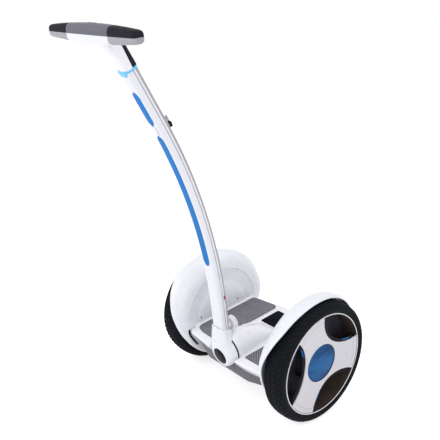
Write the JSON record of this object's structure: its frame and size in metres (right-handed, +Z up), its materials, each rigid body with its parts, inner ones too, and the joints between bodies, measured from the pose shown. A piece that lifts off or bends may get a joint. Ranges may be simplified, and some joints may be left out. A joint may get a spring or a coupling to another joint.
{
  "type": "self-balancing personal transporter",
  "caption": "Two-wheeled self-balancing transporter with a foot deck between large wheels and a curved leaning steering pole with a T handlebar.",
  "frame": {"origin": "bottom centre of the whole object's box, on the ground the tyres and the stand rest on", "axes": "+Z up, -Y the way the rider faces and the pole leans, +X the rider's left"},
  "size_m": [0.5836, 0.8029, 1.2155],
  "materials": {
    "white_gloss": "smooth white",
    "shell_grey": "satin grey",
    "foot_mat": "fine ribbed matte",
    "panel_black": "polished black",
    "tyre_rubber": "matte black with tread",
    "rim_dark": "dark satin",
    "cover_pearl": "pearl white",
    "accent_blue": "deep blue",
    "grip_black": "soft matte",
    "bar_grey": "satin mid grey",
    "pad_grey": "soft light grey",
    "alloy": "satin silver",
    "steel": "machined",
    "signal_red": "clear red",
    "pack_case": "dark coated"
  },
  "bodies": {
    "chassis": {"fender_left": "white_gloss", "fender_right": "white_gloss", "deck_cover": "white_gloss", "lower_shell": "shell_grey", "foot_mat_left": "foot_mat", "foot_mat_right": "foot_mat", "status_panel": "panel_black", "battery_pack": "pack_case", "control_board": "alloy", "lean_bearing": "alloy", "hub_motor_left": "steel", "hub_motor_right": "steel", "stand_bracket": "steel", "stand_pin": "steel", "charge_socket": "panel_black", "tail_light": "signal_red"},
    "wheel_left": {"tyre_left": "tyre_rubber", "rim_left": "rim_dark", "wheel_cover_left": "cover_pearl", "accent_plate_left": "accent_blue", "hub_cap_left": "accent_blue"},
    "wheel_right": {"tyre_right": "tyre_rubber", "rim_right": "rim_dark", "wheel_cover_right": "cover_pearl", "accent_plate_right": "accent_blue", "hub_cap_right": "accent_blue"},
    "steering": {"lean_pin": "steel", "pole_front_shell": "white_gloss", "pole_rear_shell": "white_gloss", "pole_rail": "bar_grey", "pole_core": "alloy", "strip_upper": "accent_blue", "strip_lower": "accent_blue", "pole_plate": "white_gloss", "collar_ring": "accent_blue", "latch_mark": "signal_red", "hub_nose": "white_gloss", "nose_badge": "panel_black", "lever_bracket": "bar_grey", "lever_pin": "steel"},
    "lock_knob": {"knob_screw": "steel", "lock_knob": "alloy"},
    "lever": {"height_lever": "grip_black"},
    "handlebar": {"bar_stem": "alloy", "neck_shell": "white_gloss", "neck_strip": "panel_black", "bar_top_cover": "bar_grey", "bar_tube": "alloy", "grip_left": "grip_black", "grip_right": "grip_black", "grip_pad_left": "pad_grey", "grip_pad_right": "pad_grey", "end_cap_left": "pad_grey", "end_cap_right": "pad_grey", "display_lens": "panel_black"},
    "button": {"power_button": "accent_blue"},
    "stand": {"stand_leg": "alloy", "stand_foot": "grip_black"},
    "charge_flap": {"charge_flap": "shell_grey"}
  },
  "joints": [
    {"name": "wheel_left_spin", "type": "hinge", "parent": "chassis", "child": "wheel_left", "pos_m": [0.2532, 0.2006, 0.19904], "axis": [1, 0, 0], "continuous": true},
    {"name": "wheel_right_spin", "type": "hinge", "parent": "chassis", "child": "wheel_right", "pos_m": [-0.2532, 0.2006, 0.19904], "axis": [1, 0, 0], "continuous": true},
    {"name": "steering_lean", "type": "hinge", "parent": "chassis", "child": "steering", "pos_m": [0, 0.05459, 0.19], "axis": [0, 0.9703, 0.2419], "range_deg": [-15, 15], "stiffness_Nm_per_rad": 60},
    {"name": "lock_knob_turn", "type": "hinge", "parent": "steering", "child": "lock_knob", "pos_m": [0, 0.04976, 0.26748], "axis": [0, 0.99, 0.1413], "range_deg": [-720, 720]},
    {"name": "height_lever_lift", "type": "hinge", "parent": "steering", "child": "lever", "pos_m": [0, -0.16995, 0.96731], "axis": [1, 0, 0], "range_deg": [0, 60], "stiffness_Nm_per_rad": 0.05},
    {"name": "bar_height_slide", "type": "slide", "parent": "steering", "child": "handlebar", "axis": [0, -0.5122, 0.8589], "range_m": [0, 0.12]},
    {"name": "power_button_press", "type": "slide", "parent": "handlebar", "child": "button", "axis": [0, -0.5664, -0.8241], "range_m": [0, 0.0015], "stiffness_N_per_m": 400},
    {"name": "side_stand_fold", "type": "hinge", "parent": "chassis", "child": "stand", "pos_m": [0.167, 0.15818, 0.097], "axis": [1, 0, 0], "range_deg": [0, 90]},
    {"name": "charge_flap_open", "type": "hinge", "parent": "chassis", "child": "charge_flap", "pos_m": [-0.03, 0.35822, 0.15946], "axis": [1, 0, 0], "range_deg": [0, 100]}
  ]
}
